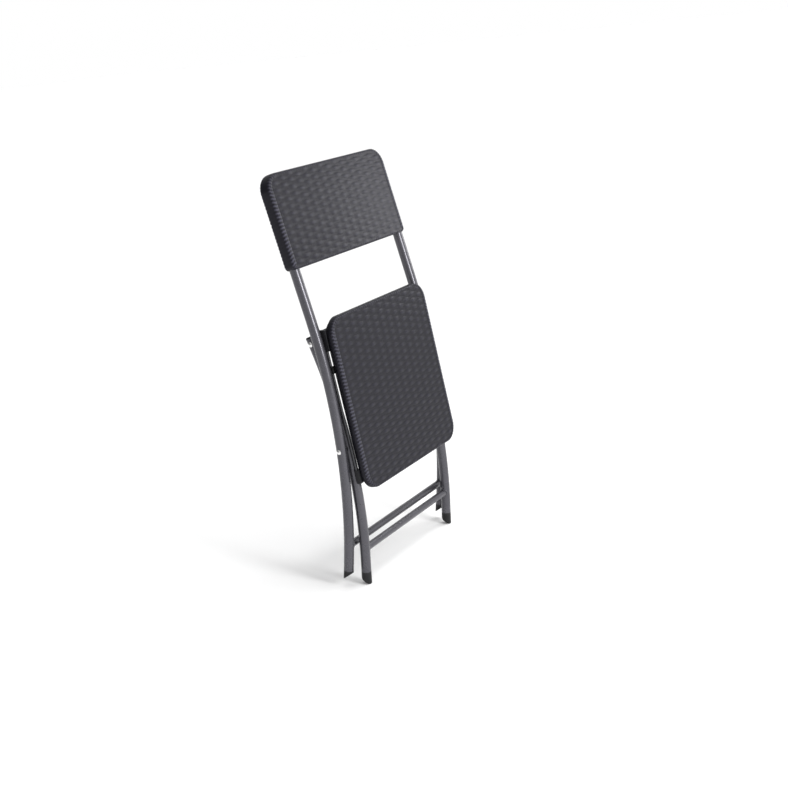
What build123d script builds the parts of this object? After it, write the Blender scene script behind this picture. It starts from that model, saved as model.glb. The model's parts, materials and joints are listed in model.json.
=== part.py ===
"""Folding chair with two moulded panels on a bent steel-tube frame, modelled folded.

Millimetres. The folded chair stands upright on its feet and faces -Y, with +Z up and
X = 0 on its plane of symmetry. Leans are degrees from vertical, positive towards -Y.
A post is a tube that runs from a front foot up to the back panel. A rear tube runs from
a rear foot up to the pivot under the front of the seat. Posts and rear tubes cross at
the cross pivot. The seat turns on the rear tubes' tops, and the rod along each of its
sides slides through a small block that turns on the post.
"""

import os
from math import cos, radians, sin

from build123d import *

os.makedirs("parts", exist_ok=True)

# Tubes
tube_radius = 11
tube_wall = 1.2
tube_bore = tube_radius - tube_wall
post_x = 200.5
rear_tube_x = 176.5
post_foot = (13.6, 38)
post_foot_lean = -9
post_foot_run = 22.5
post_bend_radius = 1390
post_bend = 22.5
post_top_run = 255
rear_foot = (42.9, 29.2)
rear_foot_lean = -4
rear_foot_run = 25.5
rear_bend_radius = 1190
rear_bend = 23.8
rear_top_run = 12
stretcher_radius = 8
stretcher_wall = 1
cope_clearance = 0.1
post_stretcher_run = 58.5
rear_stretcher_run = 52.9

# Pivots, as (Y, Z) points
cross_pivot = (34, 315.2)
top_pivot = (-22.8, 540.7)
slider_pivot = (18.6, 486.3)
pivot_shank = 4
pivot_clearance = 0.05
trunnion_radius = 3.5
rivet_head = 5.5
rivet_head_rise = 2.6
washer_radius = 8

# Open chair: the floor's slope beside the posts, the pivot's height and the fold's turn
floor_slope = 31.65
pivot_height = 236.1
fold_turn = 70

# Seat, measured back from its front edge and down from its top face
seat_front_edge = (33.4, 596.5)
seat_lean = 8.27
seat_width = 374
seat_depth = 378
seat_thickness = 26
seat_lip = 15
seat_rebate = 8
seat_corner = 38
seat_wall = 2.6
seat_edge = 4
rod_x = 184.9
rod_drop = 26
rod_radius = 3
rod_start = 36
rod_end = 349
slider_half = 8
bracket_outer_x = 189.1

# Back panel
back_width = 429
back_height = 200
back_thickness = 28
back_lean = post_foot_lean + post_bend
back_wall = 2.6
back_top_corner = 38
back_bottom_corner = 10
back_edge = 4
post_in_back = 152


def on_side(x, point):
    """The place of a (Y, Z) point in the plane at X = x."""
    return Vector(x, point[0], point[1])


def side_plane(x, point, lean):
    """A plane with its normal along a tube of that lean, with X across."""
    axis = Vector(0, -sin(radians(lean)), cos(radians(lean)))
    return Plane(origin=on_side(x, point), x_dir=(1, 0, 0), z_dir=axis)


def across(point, x):
    """A plane at X = x facing +X, centred on a (Y, Z) point."""
    return Plane(origin=on_side(x, point), x_dir=(0, 1, 0), z_dir=(1, 0, 0))


seat_plane = Plane(
    origin=on_side(0, seat_front_edge),
    x_dir=(1, 0, 0),
    z_dir=(0, cos(radians(seat_lean)), sin(radians(seat_lean))),
)


def seat_across(x):
    """A plane at X = x whose axes run back along the seat and out of its top face."""
    origin = seat_plane.from_local_coords(Vector(x, 0, 0))
    return Plane(origin=origin, x_dir=seat_plane.y_dir, z_dir=(1, 0, 0))


def seat_place(point):
    """A (Y, Z) point as (back, up) in the seat's side plane."""
    local = seat_plane.to_local_coords(on_side(0, point))
    return (local.Y, local.Z)


def save(part, name):
    """Writes one part as its own STEP file."""
    part.label = name
    export_step(part, f"parts/{name}.step")


def save_both(part, name):
    """Writes the sitter's left part, which is at +X, and its mirror image."""
    save(part, f"left_{name}")
    with BuildPart() as right:
        mirror(part, about=Plane.YZ)
    save(right.part, f"right_{name}")


def floor_plane(turn):
    """The open chair's floor as it lies beside a frame that has yet to turn."""
    slope = radians(floor_slope - turn)
    normal = Vector(0, -sin(slope), cos(slope))
    return Plane(origin=on_side(0, cross_pivot) - normal * pivot_height, z_dir=normal)


# ---- Tubes ----

with BuildLine(Plane.YZ.offset(post_x)) as post_path:
    start = side_plane(post_x, post_foot, post_foot_lean)
    foot_end = start.origin + start.z_dir * post_foot_run
    Line(start.origin, foot_end)
    post_arc = JernArc(foot_end, start.z_dir, post_bend_radius, post_bend)
    Line(post_arc @ 1, (post_arc @ 1) + (post_arc % 1) * post_top_run)

with BuildLine(Plane.YZ.offset(rear_tube_x)) as rear_path:
    start = side_plane(rear_tube_x, rear_foot, rear_foot_lean)
    foot_end = start.origin + start.z_dir * rear_foot_run
    Line(start.origin, foot_end)
    rear_arc = JernArc(foot_end, start.z_dir, rear_bend_radius, rear_bend)
    Line(rear_arc @ 1, (rear_arc @ 1) + (rear_arc % 1) * rear_top_run)

post_wire = post_path.wire()
rear_wire = rear_path.wire()
post_top = post_wire @ 1
post_axis = post_wire % 1
rear_top = rear_wire @ 1
rear_axis = rear_wire % 1

back_plane = Plane(
    origin=post_top - post_axis * post_in_back - Vector(post_x, 0, 0),
    x_dir=(1, 0, 0),
    z_dir=(0, cos(radians(back_lean)), sin(radians(back_lean))),
)
back_screw_heights = (38, 112)
back_screw_radius = 2
screw_clearance = 0.1

with BuildPart() as post:
    with BuildSketch(side_plane(post_x, post_foot, post_foot_lean)):
        Circle(tube_radius)
        Circle(tube_bore, mode=Mode.SUBTRACT)
    sweep(path=post_wire)
    with Locations(Location(across(cross_pivot, post_x))):
        Cylinder(pivot_shank + pivot_clearance, 3 * tube_radius, mode=Mode.SUBTRACT)
    with BuildSketch(across(slider_pivot, post_x)):
        Circle(trunnion_radius + pivot_clearance)
    extrude(amount=-2 * tube_radius, mode=Mode.SUBTRACT)
    for height in back_screw_heights:
        spot = back_plane.from_local_coords(Vector(post_x, -height, 0))
        with BuildSketch(Plane(origin=spot, x_dir=(1, 0, 0), z_dir=back_plane.z_dir)):
            Circle(back_screw_radius + screw_clearance)
        extrude(amount=-2 * tube_radius, mode=Mode.SUBTRACT)
save_both(post.part, "post")

with BuildPart() as rear_tube:
    with BuildSketch(side_plane(rear_tube_x, rear_foot, rear_foot_lean)):
        Circle(tube_radius)
        Circle(tube_bore, mode=Mode.SUBTRACT)
    sweep(path=rear_wire)
    for pivot in (cross_pivot, top_pivot):
        with Locations(Location(across(pivot, rear_tube_x))):
            Cylinder(pivot_shank + pivot_clearance, 3 * tube_radius, mode=Mode.SUBTRACT)
save_both(rear_tube.part, "rear_tube")


def stretcher(wire, tube_x, run):
    """A cross tube at that distance up the tubes, coped to the two that it joins."""
    centre = wire.position_at(run, PositionMode.LENGTH)
    axis = wire.tangent_at(run, PositionMode.LENGTH)
    with BuildPart() as bar:
        with BuildSketch(Plane(origin=(0, centre.Y, centre.Z), x_dir=(0, 1, 0), z_dir=(1, 0, 0))):
            Circle(stretcher_radius)
            Circle(stretcher_radius - stretcher_wall, mode=Mode.SUBTRACT)
        extrude(amount=tube_x, both=True)
        for side in (-1, 1):
            spot = Vector(side * tube_x, centre.Y, centre.Z)
            with BuildSketch(Plane(origin=spot, x_dir=(1, 0, 0), z_dir=axis)):
                Circle(tube_radius + cope_clearance)
            extrude(amount=2 * tube_radius, both=True, mode=Mode.SUBTRACT)
    return bar.part


save(stretcher(post_wire, post_x, post_stretcher_run), "front_stretcher")
save(stretcher(rear_wire, rear_tube_x, rear_stretcher_run), "rear_stretcher")


# ---- Feet and end caps ----

plug_clearance = 0.15
foot_plug = 18
foot_plug_bore = 6.8
foot_reach = 60
cap_height = 4
cap_edge = 3
cap_plug = 6


def foot(x, point, lean, turn):
    """A plastic foot plugged into a tube's end, cut to stand flat on the open chair's floor."""
    end = side_plane(x, point, lean)
    with BuildPart() as part:
        with BuildSketch(end):
            Circle(tube_radius)
        extrude(amount=-foot_reach)
        split(bisect_by=floor_plane(turn), keep=Keep.TOP)
        with BuildSketch(end):
            Circle(tube_bore - plug_clearance)
            Circle(foot_plug_bore, mode=Mode.SUBTRACT)
        extrude(amount=foot_plug)
    return part.part


save_both(foot(post_x, post_foot, post_foot_lean, 0), "front_foot")
save_both(foot(rear_tube_x, rear_foot, rear_foot_lean, fold_turn), "rear_foot")

with BuildPart() as top_cap:
    with BuildSketch(Plane(origin=rear_top, x_dir=(1, 0, 0), z_dir=rear_axis)):
        Circle(tube_radius)
    extrude(amount=cap_height)
    fillet(top_cap.edges().group_by(Axis((0, 0, 0), rear_axis))[-1], cap_edge)
    with BuildSketch(Plane(origin=rear_top, x_dir=(1, 0, 0), z_dir=rear_axis)):
        Circle(tube_bore - plug_clearance)
    extrude(amount=-cap_plug)
save_both(top_cap.part, "top_cap")


# ---- Rivets and washers ----


def rivet(point, inner_x, outer_x, heads):
    """A rivet along X with a domed head at each end that is asked for."""
    with BuildPart() as part:
        with BuildSketch(across(point, inner_x)):
            Circle(pivot_shank)
        extrude(amount=outer_x - inner_x)
        crown = (rivet_head**2 + rivet_head_rise**2) / (2 * rivet_head_rise)
        for head_x, way in ((inner_x, -1), (outer_x, 1)):
            if way in heads:
                under_head = on_side(head_x, point)
                with BuildSketch(Plane(origin=under_head, x_dir=(way, 0, 0), z_dir=(0, -way, 0))):
                    with Locations((rivet_head_rise - crown, 0)):
                        Circle(crown)
                    Rectangle(2 * crown, 2 * crown, align=(Align.MAX, Align.CENTER), mode=Mode.SUBTRACT)
                    Rectangle(2 * crown, 2 * crown, align=(Align.CENTER, Align.MAX), mode=Mode.SUBTRACT)
                revolve(axis=Axis(under_head, (way, 0, 0)))
    return part.part


rear_inner = rear_tube_x - tube_radius
rear_outer = rear_tube_x + tube_radius
post_outer = post_x + tube_radius
ear_gap = 1
ear_thickness = 3
ear_outer = rear_inner - ear_gap
head_gap = 0.3

save_both(rivet(cross_pivot, rear_inner, post_outer + head_gap, (-1, 1)), "cross_rivet")
save_both(rivet(top_pivot, rear_inner, rear_outer, (1,)), "top_rivet")
save_both(rivet(top_pivot, ear_outer - ear_thickness, ear_outer, (-1,)), "ear_rivet")

with BuildPart() as washer:
    with BuildSketch(across(cross_pivot, rear_outer + head_gap)):
        Circle(washer_radius)
        Circle(pivot_shank + pivot_clearance, mode=Mode.SUBTRACT)
    extrude(amount=post_x - rear_tube_x - 2 * tube_radius - 2 * head_gap)
save_both(washer.part, "pivot_washer")


# ---- Seat panel ----

top_back, top_up = seat_place(top_pivot)
slider_back, slider_up = seat_place(slider_pivot)
seat_screw_x = 152
front_screws = (28, 62)
rear_screws = (333, 353)
seat_screw_radius = 2
seat_screw_head = 3.5
seat_screw_head_rise = 1.4
seat_screw_length = 14
seat_screw_end_gap = 2
seat_rib_pitch = 85
seat_rib_margin = 55
seat_blow_hole_x = 20
blow_hole = 4
boss_radius = 7
underside = -seat_thickness
plate = 2.2

screw_spots = [
    (side * seat_screw_x, back)
    for side in (-1, 1)
    for back in (*front_screws, *rear_screws)
]

with BuildPart() as seat_panel:
    with BuildSketch(seat_plane):
        with Locations((0, seat_depth / 2)):
            RectangleRounded(seat_width, seat_depth, seat_corner)
    extrude(amount=-seat_lip)
    fillet(seat_panel.faces().sort_by(Axis(seat_plane.origin, seat_plane.z_dir))[-1].edges(), seat_edge)
    with BuildSketch(seat_plane.offset(-seat_lip)):
        with Locations((0, seat_depth / 2)):
            RectangleRounded(
                seat_width - 2 * seat_rebate,
                seat_depth - 2 * seat_rebate,
                seat_corner - seat_rebate,
            )
    extrude(amount=seat_lip - seat_thickness)
    bottom = seat_panel.faces().sort_by(Axis(seat_plane.origin, seat_plane.z_dir))[0]
    fillet(bottom.edges(), seat_edge)
    with BuildSketch(seat_plane.offset(-seat_wall)):
        with Locations((0, seat_depth / 2)):
            RectangleRounded(
                seat_width - 2 * seat_rebate - 4 * seat_wall,
                seat_depth - 2 * seat_rebate - 4 * seat_wall,
                seat_corner - seat_rebate,
            )
        with Locations(*screw_spots):
            Circle(boss_radius, mode=Mode.SUBTRACT)
        with GridLocations(seat_rib_pitch, seat_depth / 2, 3, 1):
            with Locations((0, seat_depth / 2)):
                Rectangle(seat_wall, seat_depth - 2 * seat_rib_margin, mode=Mode.SUBTRACT)
    extrude(amount=2 * seat_wall - seat_thickness, mode=Mode.SUBTRACT)
    with BuildSketch(seat_plane.offset(underside)):
        with Locations((seat_blow_hole_x, seat_depth / 2)):
            Circle(blow_hole)
        with Locations(*screw_spots):
            Circle(seat_screw_radius + screw_clearance)
    extrude(amount=2 * seat_wall, mode=Mode.SUBTRACT)
    with BuildSketch(seat_plane.offset(underside)):
        with Locations(*screw_spots):
            Circle(seat_screw_radius + screw_clearance)
    extrude(amount=seat_screw_length + seat_screw_end_gap, mode=Mode.SUBTRACT)
save(seat_panel.part, "seat_panel")

with BuildPart() as bracket_screws:
    with BuildSketch(seat_plane.offset(underside - plate)):
        with Locations(*screw_spots):
            Circle(seat_screw_head)
    extrude(amount=-seat_screw_head_rise)
    with BuildSketch(seat_plane.offset(underside - plate)):
        with Locations(*screw_spots):
            Circle(seat_screw_radius)
    extrude(amount=plate + seat_screw_length)
save(bracket_screws.part, "bracket_screws")


# ---- Seat brackets, rods and sliders ----

plate_inner_x = 145
ear_radius = 14
front_block = (20, 66)
front_block_top = -17
front_block_bottom = -39
rear_block = (328, 358)
rear_block_top = -18
rear_block_bottom = -29.6
block_corner = 2.5
block_inner_x = 179.4
rod_fit = 0.05
rod_end_gap = 1
bore_overrun = 1


def rod_plane(back):
    """A plane across the rod, facing back, at that distance behind the front edge."""
    return Plane(
        origin=seat_plane.from_local_coords(Vector(rod_x, back, -rod_drop)),
        x_dir=(1, 0, 0),
        z_dir=seat_plane.y_dir,
    )


def bracket(block, up_to, down_to, screws, bore, has_ear):
    """A moulded bracket: a plate under the seat and a block at its side for the rod."""
    middle = (block[0] + block[1]) / 2
    length = block[1] - block[0]
    with BuildPart() as part:
        with BuildSketch(seat_across(block_inner_x)):
            with Locations((middle, (up_to + down_to) / 2)):
                RectangleRounded(length, up_to - down_to, block_corner)
        extrude(amount=bracket_outer_x - block_inner_x)
        with BuildSketch(seat_plane.offset(underside)):
            with Locations(((plate_inner_x + bracket_outer_x) / 2, middle)):
                Rectangle(bracket_outer_x - plate_inner_x, length)
            with Locations(*[(seat_screw_x, back) for back in screws]):
                Circle(seat_screw_radius + screw_clearance, mode=Mode.SUBTRACT)
        extrude(amount=-plate)
        if has_ear:
            with BuildSketch(seat_across(ear_outer)):
                with Locations((top_back, top_up)):
                    Circle(ear_radius)
                with Locations((middle, underside)):
                    Rectangle(length, plate, align=(Align.CENTER, Align.MAX))
                make_hull()
                with Locations((top_back, top_up)):
                    Circle(pivot_shank, mode=Mode.SUBTRACT)
            extrude(amount=-ear_thickness)
        with BuildSketch(rod_plane(bore[0])):
            Circle(rod_radius + rod_fit)
        extrude(amount=bore[1] - bore[0], mode=Mode.SUBTRACT)
    return part.part


front_bore = (rod_start, front_block[1] + bore_overrun)
rear_bore = (rear_block[0] - bore_overrun, rod_end + rod_end_gap)
front_bracket = bracket(
    front_block, front_block_top, front_block_bottom, front_screws, front_bore, True
)
rear_bracket = bracket(rear_block, rear_block_top, rear_block_bottom, rear_screws, rear_bore, False)
save_both(front_bracket, "front_bracket")
save_both(rear_bracket, "rear_bracket")

with BuildPart() as rod:
    with BuildSketch(rod_plane(rod_start + rod_end_gap)):
        Circle(rod_radius)
    extrude(amount=rod_end - rod_start - rod_end_gap)
save_both(rod.part, "slide_rod")

slider_inner_x = 180
slider_corner = 3
trunnion_end_x = 195.4
clip_x = 193.5
clip_radius = 6
clip_thickness = 0.8

with BuildPart() as slider:
    with BuildSketch(seat_across(slider_inner_x)):
        with Locations((slider_back, (slider_up - rod_drop) / 2)):
            RectangleRounded(2 * slider_half, 2 * slider_half, slider_corner)
    extrude(amount=bracket_outer_x - slider_inner_x)
    with BuildSketch(rod_plane(slider_back - slider_half - bore_overrun)):
        Circle(rod_radius + rod_fit)
    extrude(amount=2 * (slider_half + bore_overrun), mode=Mode.SUBTRACT)
    with BuildSketch(seat_across(bracket_outer_x)):
        with Locations((slider_back, slider_up)):
            Circle(trunnion_radius)
    extrude(amount=trunnion_end_x - bracket_outer_x)
save_both(slider.part, "slider")

with BuildPart() as clip:
    with BuildSketch(seat_across(clip_x)):
        with Locations((slider_back, slider_up)):
            Circle(clip_radius)
            Circle(trunnion_radius, mode=Mode.SUBTRACT)
    extrude(amount=clip_thickness)
save_both(clip.part, "slider_clip")


# ---- Back panel ----

socket_clearance = 0.1
socket_wall = 3
socket_overrun = 1
back_screw_head = 4
back_screw_head_rise = 1.2
back_screw_length = 11
back_rib_pitch = 90
back_rib_margin = 30
back_blow_hole_x = 22
cavity_margin = 8.2
cavity_corner = 8
half_thickness = back_thickness / 2
cavity_half = post_x - tube_radius - socket_wall

back_screw_spots = [(side * post_x, -height) for side in (-1, 1) for height in back_screw_heights]

with BuildPart() as back_panel:
    with BuildSketch(back_plane.offset(half_thickness)) as outline:
        with Locations((0, -back_height / 2)):
            Rectangle(back_width, back_height)
        fillet(outline.vertices().group_by(Axis.Y)[-1], back_bottom_corner)
        fillet(outline.vertices().group_by(Axis.Y)[0], back_top_corner)
    extrude(amount=-back_thickness)
    across_panel = Axis(back_plane.origin, back_plane.z_dir)
    rim = back_panel.faces().sort_by(across_panel)
    fillet(rim[0].edges() + rim[-1].edges(), back_edge)
    with BuildSketch(back_plane.offset(half_thickness - back_wall)):
        with Locations((0, -back_height / 2)):
            RectangleRounded(2 * cavity_half, back_height - 2 * cavity_margin, cavity_corner)
        with GridLocations(back_rib_pitch, back_height, 3, 1):
            with Locations((0, -back_height / 2)):
                Rectangle(back_wall, back_height - 2 * back_rib_margin, mode=Mode.SUBTRACT)
    extrude(amount=2 * back_wall - back_thickness, mode=Mode.SUBTRACT)
    for side in (-1, 1):
        mouth = Plane(
            origin=back_plane.from_local_coords(Vector(side * post_x, socket_overrun, 0)),
            x_dir=(1, 0, 0),
            z_dir=-back_plane.y_dir,
        )
        with BuildSketch(mouth):
            Circle(tube_radius + socket_clearance)
        extrude(amount=post_in_back + 2 * socket_overrun, mode=Mode.SUBTRACT)
        with BuildSketch(back_plane.offset(-half_thickness)):
            with Locations(*[(side * post_x, -height) for height in back_screw_heights]):
                Circle(back_screw_radius + screw_clearance)
        extrude(amount=half_thickness, mode=Mode.SUBTRACT)
    with BuildSketch(back_plane.offset(-half_thickness)):
        with Locations((back_blow_hole_x, -back_height / 2)):
            Circle(blow_hole)
    extrude(amount=2 * back_wall, mode=Mode.SUBTRACT)
save(back_panel.part, "back_panel")

with BuildPart() as back_panel_screws:
    with BuildSketch(back_plane.offset(-half_thickness)):
        with Locations(*back_screw_spots):
            Circle(back_screw_head)
    extrude(amount=-back_screw_head_rise)
    with BuildSketch(back_plane.offset(-half_thickness)):
        with Locations(*back_screw_spots):
            Circle(back_screw_radius)
    extrude(amount=back_screw_length)
save(back_panel_screws.part, "back_panel_screws")
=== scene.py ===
import json
import math

import bmesh
import bpy
import numpy as np
from mathutils import Matrix, Vector


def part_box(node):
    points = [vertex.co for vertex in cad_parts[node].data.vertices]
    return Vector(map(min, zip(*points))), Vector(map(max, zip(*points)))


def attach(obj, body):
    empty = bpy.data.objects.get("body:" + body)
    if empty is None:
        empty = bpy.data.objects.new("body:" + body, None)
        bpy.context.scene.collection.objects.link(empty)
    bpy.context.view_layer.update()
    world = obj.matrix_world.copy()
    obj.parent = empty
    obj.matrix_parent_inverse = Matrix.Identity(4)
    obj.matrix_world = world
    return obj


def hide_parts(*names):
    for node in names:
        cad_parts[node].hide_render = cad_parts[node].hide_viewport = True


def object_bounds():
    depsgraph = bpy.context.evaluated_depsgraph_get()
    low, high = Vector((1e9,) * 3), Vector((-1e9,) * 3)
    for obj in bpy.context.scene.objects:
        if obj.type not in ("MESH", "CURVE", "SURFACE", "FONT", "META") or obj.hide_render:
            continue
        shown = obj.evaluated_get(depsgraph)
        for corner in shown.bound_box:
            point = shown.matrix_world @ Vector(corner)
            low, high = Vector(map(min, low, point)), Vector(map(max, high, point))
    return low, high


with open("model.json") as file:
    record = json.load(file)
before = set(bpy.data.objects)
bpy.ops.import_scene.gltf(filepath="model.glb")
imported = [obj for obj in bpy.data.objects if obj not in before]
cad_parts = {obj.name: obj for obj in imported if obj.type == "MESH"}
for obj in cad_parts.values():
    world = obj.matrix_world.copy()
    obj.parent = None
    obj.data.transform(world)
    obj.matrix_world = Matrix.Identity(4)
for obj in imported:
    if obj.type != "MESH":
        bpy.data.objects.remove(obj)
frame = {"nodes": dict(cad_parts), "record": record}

cad_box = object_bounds()
nodes = frame["nodes"]
record = frame["record"]

MM = 0.001
X_AXIS = Vector((1, 0, 0))

# Weave. Heights and widths without MM are shares of the relief's depth or of a row
STAKE_PITCH = 27 * MM
ROW_PITCH = 7.5 * MM
RELIEF = 1.6 * MM
UNDER_HEIGHT = 0.36
UNDER_HALF_WIDTH = 0.36
OVER_HALF_WIDTH = 0.64
OVER_SHARPNESS = 3.4
FIELD_HEIGHT = 0.86

# The weave's border, wider and with deeper ribs beside a side than beside an end
BORDER = 10.5 * MM
END_BORDER = 5 * MM
END_RIBS = 0.8
GROOVE = 0.9 * MM
GROOVE_DEPTH = 0.3

# Panels. Corners are the radii of a panel's upper pair and of its lower pair, with the chair folded
BACK_LEAN = math.radians(13.5)
BACK_CORNERS = (38 * MM, 10 * MM)
SEAT_CORNERS = (38 * MM, 38 * MM)
SEAT_LIP = 15 * MM
SEAT_REBATE = 8 * MM
SEAT_EDGE = 4 * MM
BACK_EDGE = 4 * MM
SEAT_GROOVES = (-85 * MM, 0, 85 * MM)
SEAT_GROOVE_HALF_LENGTH = 134 * MM
SEAT_GROOVE_HALF_WIDTH = 4 * MM
SEAT_GROOVE_DEPTH = 2 * MM
SEAT_GROOVE_FLAT = 0.35
RIB_FADE = (2 * MM, 4 * MM)
HALF_FADED_RIBS = 0.35
LIP_EDGE = 0.6 * MM
SMOOTH_TONE = 0.45
FACING_UP = math.pi / 2
EDGE_STEPS = 4
MESH_STEP = 1.35 * MM

# Tubes and their welds
STRETCHER_RADIUS = 8 * MM
TUBE_RADIUS = 11 * MM
TUBE_FIT_REACH = 40 * MM
BEAD_RADIUS = 1.7 * MM
BEAD_STEPS = 64
BEAD_SECTION = 8
BEAD_LUMPS = ((9, 0, 0.12), (23, 1, 0.08))  # waves round the bead, where they start, their size

# Surfaces shared by several materials
COAT_ROUGHNESS = 0.16
WEAR_FACING = (0.75, 0.94)

# Studio, in metres, degrees and watts
FLOOR_REACH = 60.0
BRIGHT_SIDE = (-0.5, 0.75, 0.43)
BRIGHT_SIDE_RANGE = (-0.7, 0.6)
WORLD_STRENGTH = (0.12, 1.1)

# The camera stands behind the chair and to its left, a little above it
CAMERA_AZIMUTH = 123.8
CAMERA_ELEVATION = 16.55
CAMERA_ROLL = math.radians(-6.3)
CAMERA_DISTANCE = 2.572
CAMERA_TARGET = Vector((0.1678, 0.1581, 0.4240))
CAMERA_LENS = 56.22
CAMERA_SENSOR = 36


# ---- Node helpers ----

def new_material(name, color, roughness, metallic=0.0, coat=0.0, specular=0.5):
    """A material with its uniform values on the shader's own sockets."""
    material = bpy.data.materials.new(name)
    material.use_nodes = True
    shader = material.node_tree.nodes["Principled BSDF"]
    shader.inputs["Base Color"].default_value = (*color, 1)
    shader.inputs["Roughness"].default_value = roughness
    shader.inputs["Metallic"].default_value = metallic
    shader.inputs["Coat Weight"].default_value = coat
    shader.inputs["Coat Roughness"].default_value = COAT_ROUGHNESS
    shader.inputs["Specular IOR Level"].default_value = specular
    return material, material.node_tree, shader


def add_noise(tree, scale, detail=4.0, stretch=(1, 1, 1)):
    """Noise over the object's own coordinates, in metres, stretched along an axis if asked."""
    coords = tree.nodes.new("ShaderNodeTexCoord")
    mapping = tree.nodes.new("ShaderNodeMapping")
    mapping.inputs["Scale"].default_value = stretch
    noise = tree.nodes.new("ShaderNodeTexNoise")
    noise.inputs["Scale"].default_value = scale
    noise.inputs["Detail"].default_value = detail
    tree.links.new(coords.outputs["Object"], mapping.inputs["Vector"])
    tree.links.new(mapping.outputs["Vector"], noise.inputs["Vector"])
    return noise.outputs["Fac"]


def add_ramp(tree, source, low, high, start=0.3, end=0.7):
    """A colour or grey that runs from low to high as the source does."""
    ramp = tree.nodes.new("ShaderNodeValToRGB")
    first, last = ramp.color_ramp.elements
    first.position = start
    last.position = end
    first.color = (*low, 1)
    last.color = (*high, 1)
    tree.links.new(source, ramp.inputs["Fac"])
    return ramp.outputs["Color"]


def grey(value):
    return (value, value, value)


def vary_roughness(tree, shader, source, low, high):
    tree.links.new(add_ramp(tree, source, grey(low), grey(high)), shader.inputs["Roughness"])


def add_bump(tree, shader, source, strength, distance):
    bump = tree.nodes.new("ShaderNodeBump")
    bump.inputs["Strength"].default_value = strength
    bump.inputs["Distance"].default_value = distance
    tree.links.new(source, bump.inputs["Height"])
    tree.links.new(bump.outputs["Normal"], shader.inputs["Normal"])


def add_edge_wear(tree, shader, base, worn, radius):
    """Rubs the colour towards a paler one along convex edges."""
    geometry = tree.nodes.new("ShaderNodeNewGeometry")
    bevel = tree.nodes.new("ShaderNodeBevel")
    bevel.samples = 4
    bevel.inputs["Radius"].default_value = radius
    facing = tree.nodes.new("ShaderNodeVectorMath")
    facing.operation = "DOT_PRODUCT"
    tree.links.new(bevel.outputs["Normal"], facing.inputs[0])
    tree.links.new(geometry.outputs["Normal"], facing.inputs[1])
    mix = tree.nodes.new("ShaderNodeMix")
    mix.data_type = "RGBA"
    fade = add_ramp(tree, facing.outputs["Value"], grey(1), grey(0), *WEAR_FACING)
    tree.links.new(fade, mix.inputs["Factor"])
    tree.links.new(base, mix.inputs["A"])
    mix.inputs["B"].default_value = (*worn, 1)
    tree.links.new(mix.outputs["Result"], shader.inputs["Base Color"])


# ---- Materials ----

def woven_material():
    """Charcoal moulded resin, streaked along the strands, with painted shade darkening the gaps and a
    painted highlight lightening the crests.
    """
    material, tree, shader = new_material("woven_resin", (0.05, 0.05, 0.054), roughness=0.5, specular=0.285)
    shader.inputs["Specular Tint"].default_value = (0.9, 0.88, 1, 1)
    relief = tree.nodes.new("ShaderNodeAttribute")
    relief.attribute_name = "relief"
    # Painted shade and light: the colour darkens down into the gaps between strands and lightens up onto
    # their crests, by relief height
    painted_gap_shade, crest = (0.0022, 0.0022, 0.0035), (0.013, 0.0128, 0.019)
    depth = add_ramp(tree, relief.outputs["Fac"], painted_gap_shade, crest, start=0.1, end=0.86)
    # Painted shade on the flanks of the strands
    painted_flank_shade = depth.node.color_ramp.elements.new(0.6)
    painted_flank_shade.color = (0.0055, 0.0053, 0.0088, 1)
    # Painted highlight on the very tops of the crests
    painted_crest_highlight = depth.node.color_ramp.elements.new(1.0)
    painted_crest_highlight.color = (0.045, 0.045, 0.062, 1)
    streak = add_noise(tree, scale=420, detail=3, stretch=(0.06, 1, 1))
    tint = add_ramp(tree, streak, grey(0.8), grey(1.15), end=0.72)
    mix = tree.nodes.new("ShaderNodeMix")
    mix.data_type = "RGBA"
    mix.blend_type = "MULTIPLY"
    mix.inputs["Factor"].default_value = 0.8
    tree.links.new(depth, mix.inputs["A"])
    tree.links.new(tint, mix.inputs["B"])
    tree.links.new(mix.outputs["Result"], shader.inputs["Base Color"])
    vary_roughness(tree, shader, add_noise(tree, scale=90), low=0.42, high=0.48)
    add_bump(tree, shader, streak, strength=0.22, distance=0.4 * MM)
    return material


def paint_material():
    """Grey powder coat with fine orange peel and a few cloudy, duller patches."""
    material, tree, shader = new_material(
        "grey_powder_coat", (0.069, 0.068, 0.078), roughness=0.25, metallic=0.6, coat=0.2
    )
    shade = add_noise(tree, scale=22)
    color = add_ramp(tree, shade, (0.065, 0.064, 0.074), (0.079, 0.077, 0.089))
    add_edge_wear(tree, shader, color, worn=(0.14, 0.14, 0.155), radius=0.8 * MM)
    vary_roughness(tree, shader, add_noise(tree, scale=60), low=0.24, high=0.33)
    add_bump(tree, shader, add_noise(tree, scale=500, detail=2), strength=0.015, distance=0.1 * MM)
    return material


def plastic_material(name, color, worn, low, high, grain):
    """Black moulded plastic with a fine grain and paler rubbed edges."""
    material, tree, shader = new_material(name, color, low, specular=0.22)
    dark = tuple(0.8 * channel for channel in color)
    light = tuple(1.3 * channel for channel in color)
    shade = add_ramp(tree, add_noise(tree, scale=70), dark, light)
    add_edge_wear(tree, shader, shade, worn, radius=0.7 * MM)
    vary_roughness(tree, shader, add_noise(tree, scale=140), low, high)
    add_bump(tree, shader, add_noise(tree, grain, detail=3), strength=0.2, distance=0.2 * MM)
    return material


def metal_material(name, color, low, high, stretch=(1, 1, 1)):
    """Bare metal with fine drawing or turning marks."""
    material, tree, shader = new_material(name, color, low, metallic=1.0)
    marks = add_noise(tree, scale=700, detail=3, stretch=stretch)
    dark = tuple(0.85 * channel for channel in color)
    shade = add_ramp(tree, marks, dark, color)
    tree.links.new(shade, shader.inputs["Base Color"])
    vary_roughness(tree, shader, add_noise(tree, scale=160), low, high)
    add_bump(tree, shader, marks, strength=0.1, distance=0.1 * MM)
    return material


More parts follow.
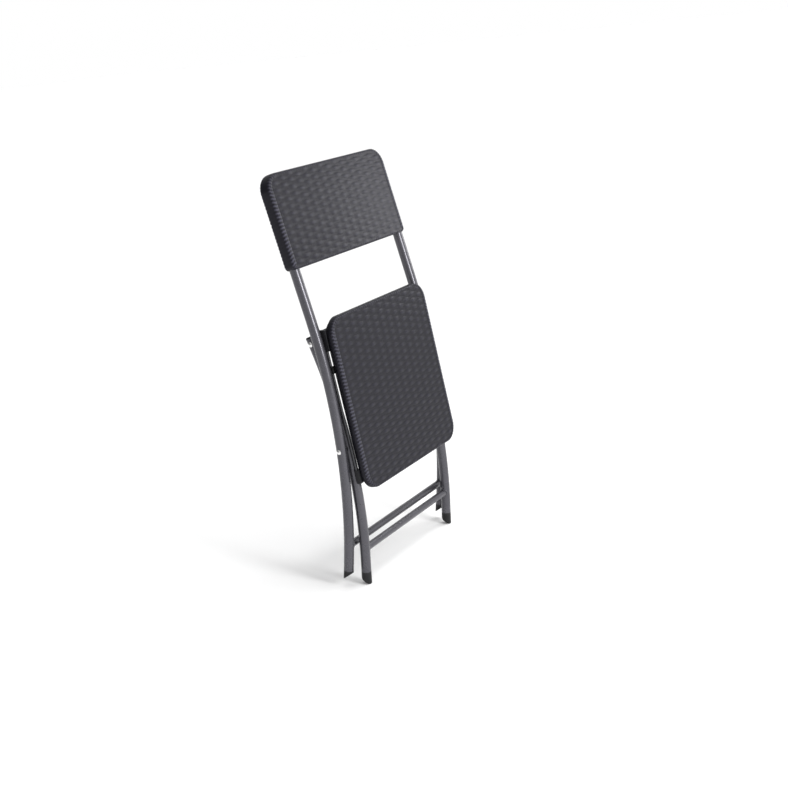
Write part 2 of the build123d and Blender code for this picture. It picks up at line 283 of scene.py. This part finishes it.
slot_materials = {
    "woven_panel": woven_material(),
    "frame_paint": paint_material(),
    "black_plastic": plastic_material(
        "black_nylon", (0.012, 0.012, 0.013), worn=(0.03, 0.03, 0.032), low=0.42, high=0.58, grain=1100
    ),
    "black_metal": plastic_material(
        "black_bracket", (0.014, 0.014, 0.016), worn=(0.045, 0.045, 0.048), low=0.34, high=0.5, grain=800
    ),
    "bright_rivet": metal_material("bright_rivet_metal", grey(0.86), low=0.16, high=0.3),
    "rod_steel": metal_material(
        "dark_drawn_steel", (0.07, 0.07, 0.075), low=0.3, high=0.42, stretch=(1, 1, 0.03)
    ),
    "screw_steel": metal_material("zinc_screw", (0.5, 0.5, 0.49), low=0.3, high=0.45),
}

for subpart in record["subparts"]:
    node = nodes[subpart["node"]]
    node.data.materials.clear()
    node.data.materials.append(slot_materials[subpart["material_slot"]])


# ---- Woven panels ----

def node_points(node):
    """A CAD node's vertices as an array."""
    return np.array([vertex.co[:] for vertex in nodes[node].data.vertices])


def local_box(node, axes):
    """Lowest and highest corner of a CAD node along three axes of its own."""
    local = node_points(node) @ np.array([axis[:] for axis in axes]).T
    return local.min(axis=0), local.max(axis=0)


def smooth_step(value, low, high):
    """Runs from 0 at low to 1 at high, level at both ends."""
    t = np.clip((value - low) / (high - low), 0, 1)
    return t * t * (3 - 2 * t)


def strand(phase):
    """The round section of a strand, 1 at its crest and 0 at its edges."""
    centred = 2 * (phase - np.floor(phase)) - 1
    return np.sqrt(np.clip(1 - centred**2, 0, 1))


def weave_height(x, y):
    """Strands that swell where they pass over a stake and dip under the next, from 0 to 1."""
    height = np.zeros(x.shape)
    own_row = np.floor(y / ROW_PITCH)
    for row in (own_row - 1, own_row, own_row + 1):
        over = 0.5 + 0.5 * np.cos(math.pi * (x / STAKE_PITCH + row))
        half_width = ROW_PITCH * (UNDER_HALF_WIDTH + (OVER_HALF_WIDTH - UNDER_HALF_WIDTH) * over)
        from_middle = (y - (row + 0.5) * ROW_PITCH) / half_width
        crest = np.sqrt(np.clip(1 - from_middle**2, 0, 1))
        height = np.maximum(height, crest * (UNDER_HEIGHT + (1 - UNDER_HEIGHT) * over**OVER_SHARPNESS))
    return height


class Outline:
    """A rounded rectangle whose first two corners and last two corners can differ."""

    def __init__(self, half_width, half_depth, corners):
        self.half_width = half_width
        self.half_depth = half_depth
        self.corners = corners

    def corner_radius(self, y):
        return np.where(y < 0, self.corners[0], self.corners[1])

    def inset(self, amount):
        corners = [max(corner - amount, MM) for corner in self.corners]
        return Outline(self.half_width - amount, self.half_depth - amount, corners)

    def place(self, u, v):
        """Maps a square of -1..1 onto the outline, and gives the outward normal there."""
        x = u * self.half_width
        y = v * self.half_depth
        radius = self.corner_radius(y)
        px = np.abs(x) - (self.half_width - radius)
        py = np.abs(y) - (self.half_depth - radius)
        in_corner = (px > 0) & (py > 0)
        length = np.where(in_corner, np.hypot(px, py), 1)
        scale = np.where(in_corner, np.maximum(px, py) / length, 1)
        x = np.where(in_corner, np.sign(x) * (self.half_width - radius + px * scale), x)
        y = np.where(in_corner, np.sign(y) * (self.half_depth - radius + py * scale), y)
        side = np.abs(u) >= np.abs(v)
        normal_x = np.where(in_corner, np.sign(x) * px / length, np.where(side, np.sign(x), 0))
        normal_y = np.where(in_corner, np.sign(y) * py / length, np.where(side, 0, np.sign(y)))
        return x, y, normal_x, normal_y

    def along_and_in(self, x, y):
        """Distance round the edge from the middle of the side, distance in from the edge, and
        1 beside a side, 0 beside an end, and between the two round a corner."""
        radius = self.corner_radius(y)
        ax = np.abs(x)
        ay = np.abs(y)
        px = ax - (self.half_width - radius)
        py = ay - (self.half_depth - radius)
        in_corner = (px > 0) & (py > 0)
        from_side = self.half_width - ax
        from_end = self.half_depth - ay
        inward = np.where(in_corner, radius - np.hypot(px, py), np.minimum(from_side, from_end))
        straight = self.half_depth - radius
        turned = straight + radius * np.arctan2(np.maximum(py, 0), np.maximum(px, 1e-9))
        over_end = straight + radius * math.pi / 2 + (self.half_width - radius - ax)
        near_side = from_side < from_end
        along = np.where(in_corner, turned, np.where(near_side, ay, over_end))
        corner_share = 1 - (turned - straight) / (radius * math.pi / 2)
        beside = np.where(in_corner, corner_share, np.where(near_side, 1, 0))
        return along, inward, beside


def woven_height(outline, x, y):
    """The whole woven face: the field, and a border where each strand turns over the edge."""
    along, inward, beside = outline.along_and_in(x, y)
    width = END_BORDER + (BORDER - END_BORDER) * beside
    ribs = strand(along / ROW_PITCH) * (END_RIBS + (1 - END_RIBS) * beside)
    border = 1 - smooth_step(inward, width - GROOVE, width + GROOVE)
    groove = GROOVE_DEPTH * beside * np.exp(-(((inward - width) / GROOVE) ** 2))
    return np.clip(border * ribs + (1 - border) * FIELD_HEIGHT * weave_height(x, y) - groove, 0, 1)


def flat_under(outline, x, y):
    """A plain underside, with the moulding's three long tack-off grooves."""
    sunk = np.zeros(x.shape)
    for groove_x in SEAT_GROOVES:
        over_end = np.maximum(np.abs(y) - SEAT_GROOVE_HALF_LENGTH, 0)
        away = np.hypot(x - groove_x, over_end) / SEAT_GROOVE_HALF_WIDTH
        sunk = np.maximum(sunk, SEAT_GROOVE_DEPTH * (1 - smooth_step(away, SEAT_GROOVE_FLAT, 1)))
    return sunk, np.full(x.shape, SMOOTH_TONE)


def woven_under(outline, x, y):
    """An underside woven as the top is."""
    height = woven_height(outline, x, y)
    return RELIEF * (1 - height), height


def woven_panel(name, node, axes, corners, rings, under_face, body):
    """A closed moulded panel with a woven top.

    Rings run from the top's edge to the underside's. Each is (how far in from the outline,
    how far down, the share of the border's ribs that it carries, the angle that it faces).
    """
    across, down, out = axes
    low, high = local_box(node, axes)
    centre = across * ((low[0] + high[0]) / 2) + down * ((low[1] + high[1]) / 2) + out * high[2]
    half_width = (high[0] - low[0]) / 2
    half_depth = (high[1] - low[1]) / 2
    outline = Outline(half_width, half_depth, corners)
    top = outline.inset(rings[0][0])
    columns = int(2 * half_width / MESH_STEP)
    rows = int(2 * half_depth / MESH_STEP)
    u, v = np.meshgrid(np.linspace(-1, 1, columns + 1), np.linspace(-1, 1, rows + 1), indexing="ij")
    index = np.arange(u.size).reshape(u.shape)
    loop = np.concatenate([index[:-1, 0], index[-1, :-1], index[:0:-1, -1], index[0, :0:-1]])

    x, y, _, _ = top.place(u, v)
    height = woven_height(outline, x, y)
    points = [np.stack([x.ravel(), y.ravel(), -RELIEF * (1 - height).ravel()], axis=1)]
    relief = [height.ravel()]
    ring_u, ring_v = u.ravel()[loop], v.ravel()[loop]
    edge_x, edge_y, _, _ = top.place(ring_u, ring_v)
    edge_height = woven_height(outline, edge_x, edge_y)
    for inset, depth, ribs, facing in rings[1:]:
        x, y, normal_x, normal_y = outline.inset(inset).place(ring_u, ring_v)
        sunk = RELIEF * (1 - edge_height) * ribs
        level = sunk * math.cos(facing)
        z = -depth - sunk * math.sin(facing)
        points.append(np.stack([x - normal_x * level, y - normal_y * level, z], axis=1))
        relief.append(edge_height * ribs + SMOOTH_TONE * (1 - ribs))
    last = outline.inset(rings[-1][0])
    inside = np.setdiff1d(index.ravel(), loop)
    x, y, _, _ = last.place(u.ravel()[inside], v.ravel()[inside])
    sunk, tone = under_face(outline, x, y)
    points.append(np.stack([x, y, sunk - rings[-1][1]], axis=1))
    relief.append(tone)
    points = np.concatenate(points)
    relief = np.concatenate(relief)

    faces = []
    for i in range(columns):
        for j in range(rows):
            faces.append((index[i, j], index[i + 1, j], index[i + 1, j + 1], index[i, j + 1]))
    count = len(loop)
    previous = list(loop)
    for ring_number in range(len(rings) - 1):
        start = u.size + ring_number * count
        current = list(range(start, start + count))
        for k in range(count):
            after = (k + 1) % count
            faces.append((previous[k], current[k], current[after], previous[after]))
        previous = current
    under = np.zeros(u.size, int)
    under[loop] = previous
    under[inside] = u.size + (len(rings) - 1) * count + np.arange(len(inside))
    under = under.reshape(u.shape)
    for i in range(columns):
        for j in range(rows):
            faces.append((under[i, j], under[i, j + 1], under[i + 1, j + 1], under[i + 1, j]))

    basis = np.array([across[:], down[:], out[:]])
    placed = points @ basis + np.array(centre[:])
    mesh = bpy.data.meshes.new(name)
    mesh.from_pydata(placed.tolist(), [], [tuple(int(n) for n in face) for face in faces])
    mesh.update()
    # The relief attribute also sets the resin's colour: painted shade in the hollows and a painted
    # highlight on the crests
    attribute = mesh.attributes.new("relief", "FLOAT", "POINT")
    attribute.data.foreach_set("value", relief.astype(np.float32))
    work = bmesh.new()
    work.from_mesh(mesh)
    bmesh.ops.recalc_face_normals(work, faces=work.faces)
    for face in work.faces:
        face.smooth = True
    work.to_mesh(mesh)
    work.free()
    panel = bpy.data.objects.new(name, mesh)
    bpy.context.scene.collection.objects.link(panel)
    mesh.materials.append(slot_materials["woven_panel"])
    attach(panel, body)
    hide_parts(node)


def quarter(inset, depth, radius, ribs, start, way):
    """Rings round a convex edge, as its facing turns by a quarter of a circle from start.

    The depth is that of the face beside the edge, and the way is -1 at the top and 1 at the underside.
    """
    rings = []
    for number in range(EDGE_STEPS + 1):
        facing = start - math.pi / 2 * number / EDGE_STEPS
        inward = inset + radius * (1 - math.cos(facing))
        rings.append((inward, depth - way * radius * (1 - abs(math.sin(facing))), ribs, facing))
    return rings


seat_mount = next(mount for mount in record["mounts"] if mount["name"] == "seat_top")
seat_out = Vector(seat_mount["axis"]).normalized()
seat_axes = (X_AXIS, seat_out.cross(X_AXIS), seat_out)
back_out = Vector((0, math.cos(BACK_LEAN), math.sin(BACK_LEAN)))
back_axes = (X_AXIS, back_out.cross(X_AXIS), back_out)


def panel_thickness(node, axes):
    low, high = local_box(node, axes)
    return high[2] - low[2]


seat_thickness = panel_thickness("seat_panel", seat_axes)
back_thickness = panel_thickness("back_panel", back_axes)

seat_rings = quarter(0, 0, SEAT_EDGE, 1, FACING_UP, -1)
seat_rings += [
    (0, SEAT_EDGE + RIB_FADE[0], HALF_FADED_RIBS, 0),
    (0, SEAT_EDGE + RIB_FADE[1], 0, 0),
    (0, SEAT_LIP - LIP_EDGE, 0, 0),
    (LIP_EDGE, SEAT_LIP, 0, 0),
    (SEAT_REBATE - LIP_EDGE, SEAT_LIP, 0, 0),
    (SEAT_REBATE, SEAT_LIP + LIP_EDGE, 0, 0),
]
seat_rings += quarter(SEAT_REBATE, seat_thickness, SEAT_EDGE, 0, 0, 1)
woven_panel("woven_seat", "seat_panel", seat_axes, SEAT_CORNERS, seat_rings, flat_under, "seat")

back_rings = quarter(0, 0, BACK_EDGE, 1, FACING_UP, -1)
back_rings += [
    (0, BACK_EDGE + RIB_FADE[0], HALF_FADED_RIBS, 0),
    (0, BACK_EDGE + RIB_FADE[1], 0, 0),
    (0, back_thickness - BACK_EDGE - RIB_FADE[1], 0, 0),
    (0, back_thickness - BACK_EDGE - RIB_FADE[0], HALF_FADED_RIBS, 0),
]
back_rings += quarter(0, back_thickness, BACK_EDGE, 1, 0, 1)
woven_panel("woven_back", "back_panel", back_axes, BACK_CORNERS, back_rings, woven_under, "front_frame")


# ---- Weld beads where the stretchers meet the tubes ----

def tube_at(node, height):
    """The middle of a tube, and its direction, where it passes a height."""
    points = node_points(node)
    near = points[np.abs(points[:, 2] - height) < TUBE_FIT_REACH]
    slope, offset = np.polyfit(near[:, 2], near[:, 1], 1)
    direction = Vector((0, slope, 1)).normalized()
    return Vector((near[:, 0].mean(), slope * height + offset, height)), direction


def weld_bead(name, stretcher, side, tube, body):
    """A lumpy fillet that follows the saddle where a stretcher meets the side of a tube."""
    low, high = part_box(stretcher)
    middle = (low + high) / 2
    tube_middle, direction = tube_at(tube, middle.z)
    across = direction.cross(X_AXIS)
    work = bmesh.new()
    loops = []
    for number in range(BEAD_STEPS):
        angle = 2 * math.pi * number / BEAD_STEPS
        offset_up = STRETCHER_RADIUS * math.cos(angle)
        offset_across = STRETCHER_RADIUS * math.sin(angle)
        x = abs(tube_middle.x) - math.sqrt(TUBE_RADIUS**2 - offset_across**2)
        point = Vector((side * x, middle.y, middle.z)) + direction * offset_up + across * offset_across
        outward = direction * math.cos(angle) + across * math.sin(angle)
        thick = BEAD_RADIUS * (1 + sum(size * math.sin(n * angle + start) for n, start, size in BEAD_LUMPS))
        loop = []
        for part in range(BEAD_SECTION):
            turn = 2 * math.pi * part / BEAD_SECTION
            radial = outward * math.cos(turn) + X_AXIS * math.sin(turn)
            loop.append(work.verts.new(point + radial * thick))
        loops.append(loop)
    for number in range(BEAD_STEPS):
        here, there = loops[number], loops[(number + 1) % BEAD_STEPS]
        for part in range(BEAD_SECTION):
            after = (part + 1) % BEAD_SECTION
            work.faces.new((here[part], there[part], there[after], here[after]))
    bmesh.ops.recalc_face_normals(work, faces=work.faces)
    for face in work.faces:
        face.smooth = True
    mesh = bpy.data.meshes.new(name)
    work.to_mesh(mesh)
    work.free()
    bead = bpy.data.objects.new(name, mesh)
    bpy.context.scene.collection.objects.link(bead)
    mesh.materials.append(slot_materials["frame_paint"])
    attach(bead, body)


for stretcher, tube, body in (
    ("front_stretcher", "post", "front_frame"),
    ("rear_stretcher", "rear_tube", "rear_frame"),
):
    for side_name, side in (("left", 1), ("right", -1)):
        weld_bead(f"{stretcher}_weld_{side_name}", stretcher, side, f"{side_name}_{tube}", body)


# ---- Studio ----

floor_z = cad_box[0].z
floor_mesh = bpy.data.meshes.new("studio_floor")
quadrants = ((-1, -1), (1, -1), (1, 1), (-1, 1))
floor_corners = [(x * FLOOR_REACH, y * FLOOR_REACH, floor_z) for x, y in quadrants]
floor_mesh.from_pydata(floor_corners, [], [(0, 1, 2, 3)])
floor = bpy.data.objects.new("studio_floor", floor_mesh)
bpy.context.scene.collection.objects.link(floor)
floor_material, _, _ = new_material("pale_floor", grey(0.94), roughness=0.9, specular=0.1)
floor_mesh.materials.append(floor_material)

world = bpy.data.worlds.new("studio_world")
bpy.context.scene.world = world
world.use_nodes = True
world_tree = world.node_tree
world_coords = world_tree.nodes.new("ShaderNodeTexCoord")
towards_light = world_tree.nodes.new("ShaderNodeVectorMath")
towards_light.operation = "DOT_PRODUCT"
towards_light.inputs[1].default_value = BRIGHT_SIDE
world_tree.links.new(world_coords.outputs["Generated"], towards_light.inputs[0])
brightness = world_tree.nodes.new("ShaderNodeMapRange")
brightness.inputs["From Min"].default_value = BRIGHT_SIDE_RANGE[0]
brightness.inputs["From Max"].default_value = BRIGHT_SIDE_RANGE[1]
brightness.inputs["To Min"].default_value = WORLD_STRENGTH[0]
brightness.inputs["To Max"].default_value = WORLD_STRENGTH[1]
world_tree.links.new(towards_light.outputs["Value"], brightness.inputs["Value"])

# The camera sees white, and the gradient lights the rest
light_path = world_tree.nodes.new("ShaderNodeLightPath")
seen_white = world_tree.nodes.new("ShaderNodeMix")
world_tree.links.new(light_path.outputs["Is Camera Ray"], seen_white.inputs["Factor"])
world_tree.links.new(brightness.outputs["Result"], seen_white.inputs["A"])
seen_white.inputs["B"].default_value = 1.0
world_tree.links.new(seen_white.outputs["Result"], world_tree.nodes["Background"].inputs["Strength"])
world_tree.nodes["Background"].inputs["Color"].default_value = (1, 1, 1, 1)


def direction_from(azimuth, elevation):
    """From the chair towards a place round it. Azimuth 0 is its front (-Y), and 90 is +X."""
    a, e = math.radians(azimuth), math.radians(elevation)
    return Vector((math.sin(a) * math.cos(e), -math.cos(a) * math.cos(e), math.sin(e)))


def add_light(name, kind, power, shining):
    """A light that shines along a direction."""
    data = bpy.data.lights.new(name, kind)
    data.energy = power
    light = bpy.data.objects.new(name, data)
    bpy.context.scene.collection.objects.link(light)
    light.rotation_mode = "QUATERNION"
    light.rotation_quaternion = shining.to_track_quat("-Z", "Y")
    return light


def area_light(name, place, aim, size, power):
    """A soft oblong light at a place, aimed at another. Its size is (across, up)."""
    light = add_light(name, "AREA", power, Vector(aim) - Vector(place))
    light.data.shape = "RECTANGLE"
    light.data.size, light.data.size_y = size
    light.location = place
    light.visible_camera = False


def sun_light(name, azimuth, elevation, strength, spread):
    """A broad, even light from one side, as from a large overhead softbox."""
    light = add_light(name, "SUN", strength, -direction_from(azimuth, elevation))
    light.data.angle = math.radians(spread)


area_light("key", place=(-0.64, 0.28, 0.86), aim=(-0.25, 0, 0.82), size=(0.12, 0.4), power=1.2)
area_light("edge", place=(0.45, 2.65, 1.3), aim=(0, 0, 0.6), size=(0.6, 1.3), power=52)
sun_light("overhead", azimuth=225, elevation=68, strength=1.0, spread=45)

back = direction_from(CAMERA_AZIMUTH, CAMERA_ELEVATION)
level_right = Vector((0, 0, 1)).cross(back).normalized()
level_up = back.cross(level_right)
right = level_right * math.cos(CAMERA_ROLL) + level_up * math.sin(CAMERA_ROLL)
up = back.cross(right)
camera_data = bpy.data.cameras.new("camera")
camera_data.lens = CAMERA_LENS
camera_data.sensor_width = CAMERA_SENSOR
camera = bpy.data.objects.new("camera", camera_data)
bpy.context.scene.collection.objects.link(camera)
camera.rotation_mode = "QUATERNION"
camera.rotation_quaternion = Matrix((right, up, back)).transposed().to_quaternion()
camera.location = CAMERA_TARGET + back * CAMERA_DISTANCE
bpy.context.scene.camera = camera
bpy.context.scene.view_settings.view_transform = "Standard"
